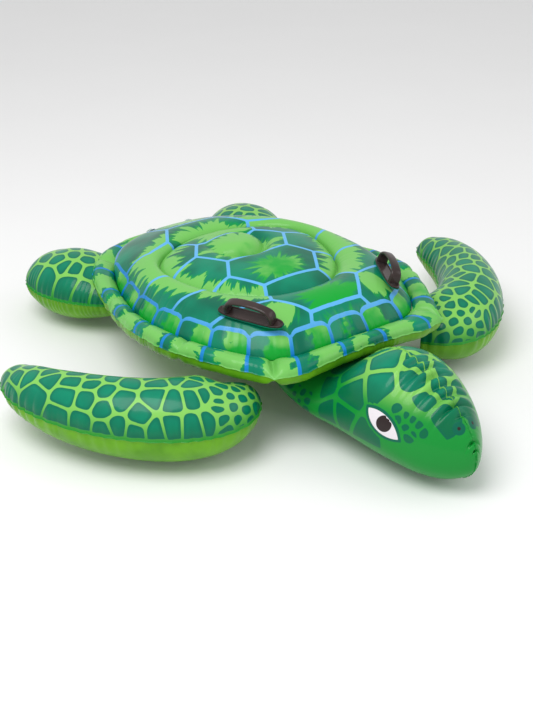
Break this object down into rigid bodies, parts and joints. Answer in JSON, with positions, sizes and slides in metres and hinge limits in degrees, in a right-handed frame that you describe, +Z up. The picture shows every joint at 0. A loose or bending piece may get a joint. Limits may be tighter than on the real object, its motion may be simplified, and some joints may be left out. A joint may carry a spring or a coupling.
{
  "type": "inflatable ride-on pool float",
  "caption": "Ride-on pool float in the form of a sea turtle, with an oval ringed seat, an air-tube rim, flippers, a drooping head, moulded grab handles and push-in air valves.",
  "frame": {"origin": "middle of the float's footprint, on the surface that it lies on", "axes": "+Y from the head to the tail, +X to the turtle's left, +Z up"},
  "size_m": [1.429, 1.4408, 0.3225],
  "materials": {
    "printed_shell_film": "glossy calendered vinyl film, printed with teal and light green scutes and blue outlines",
    "printed_rim_film": "glossy vinyl film, printed in green and teal patches with blue bands",
    "printed_flipper_film": "glossy vinyl film, printed with teal scales on light green",
    "printed_head_film": "glossy vinyl film, printed with scales, eye and nostril",
    "lime_film": "glossy plain lime vinyl film",
    "inner_film": "plain translucent vinyl film",
    "handle_vinyl": "satin moulded soft vinyl, dark grey-brown",
    "valve_vinyl": "satin moulded clear-white soft vinyl"
  },
  "bodies": {
    "float": {"shell_top_panel": "printed_shell_film", "shell_bottom_panel": "lime_film", "rim_top_panel": "printed_rim_film", "rim_bottom_panel": "lime_film", "outer_ring_baffle": "inner_film", "seat_baffle": "inner_film", "front_flipper_left_top_panel": "printed_flipper_film", "front_flipper_left_bottom_panel": "lime_film", "front_flipper_right_top_panel": "printed_flipper_film", "front_flipper_right_bottom_panel": "lime_film", "hind_flipper_left_top_panel": "printed_flipper_film", "hind_flipper_left_bottom_panel": "lime_film", "hind_flipper_right_top_panel": "printed_flipper_film", "hind_flipper_right_bottom_panel": "lime_film", "head_left_panel": "printed_head_film", "head_right_panel": "printed_head_film", "handle_left_patch": "inner_film", "handle_left_base": "handle_vinyl", "handle_left_grip": "handle_vinyl", "handle_right_patch": "inner_film", "handle_right_base": "handle_vinyl", "handle_right_grip": "handle_vinyl", "shell_valve_flange": "valve_vinyl", "limb_valve_flange": "valve_vinyl"},
    "shell_stem": {"shell_valve_stem": "valve_vinyl"},
    "shell_plug": {"shell_valve_plug": "valve_vinyl", "shell_valve_tether": "valve_vinyl"},
    "shell_flap": {"shell_valve_check_flap": "valve_vinyl"},
    "limb_stem": {"limb_valve_stem": "valve_vinyl"},
    "limb_plug": {"limb_valve_plug": "valve_vinyl", "limb_valve_tether": "valve_vinyl"},
    "limb_flap": {"limb_valve_check_flap": "valve_vinyl"}
  },
  "joints": [
    {"name": "shell_stem_pull", "type": "slide", "parent": "float", "child": "shell_stem", "axis": [0.109, 0.773, 0.625], "range_m": [0, 0.009]},
    {"name": "shell_plug_pull", "type": "slide", "parent": "shell_stem", "child": "shell_plug", "axis": [0.109, 0.773, 0.625], "range_m": [0, 0.0065]},
    {"name": "shell_flap_hinge", "type": "hinge", "parent": "shell_stem", "child": "shell_flap", "pos_m": [0.05601, 0.51794, 0.20274], "axis": [0.0873, 0.6189, -0.7806], "range_deg": [0, 35]},
    {"name": "limb_stem_pull", "type": "slide", "parent": "float", "child": "limb_stem", "axis": [-0.109, 0.773, 0.625], "range_m": [0, 0.009]},
    {"name": "limb_plug_pull", "type": "slide", "parent": "limb_stem", "child": "limb_plug", "axis": [-0.109, 0.773, 0.625], "range_m": [0, 0.0065]},
    {"name": "limb_flap_hinge", "type": "hinge", "parent": "limb_stem", "child": "limb_flap", "pos_m": [-0.06512, 0.51665, 0.20274], "axis": [-0.0873, 0.6189, -0.7806], "range_deg": [0, 35]}
  ]
}
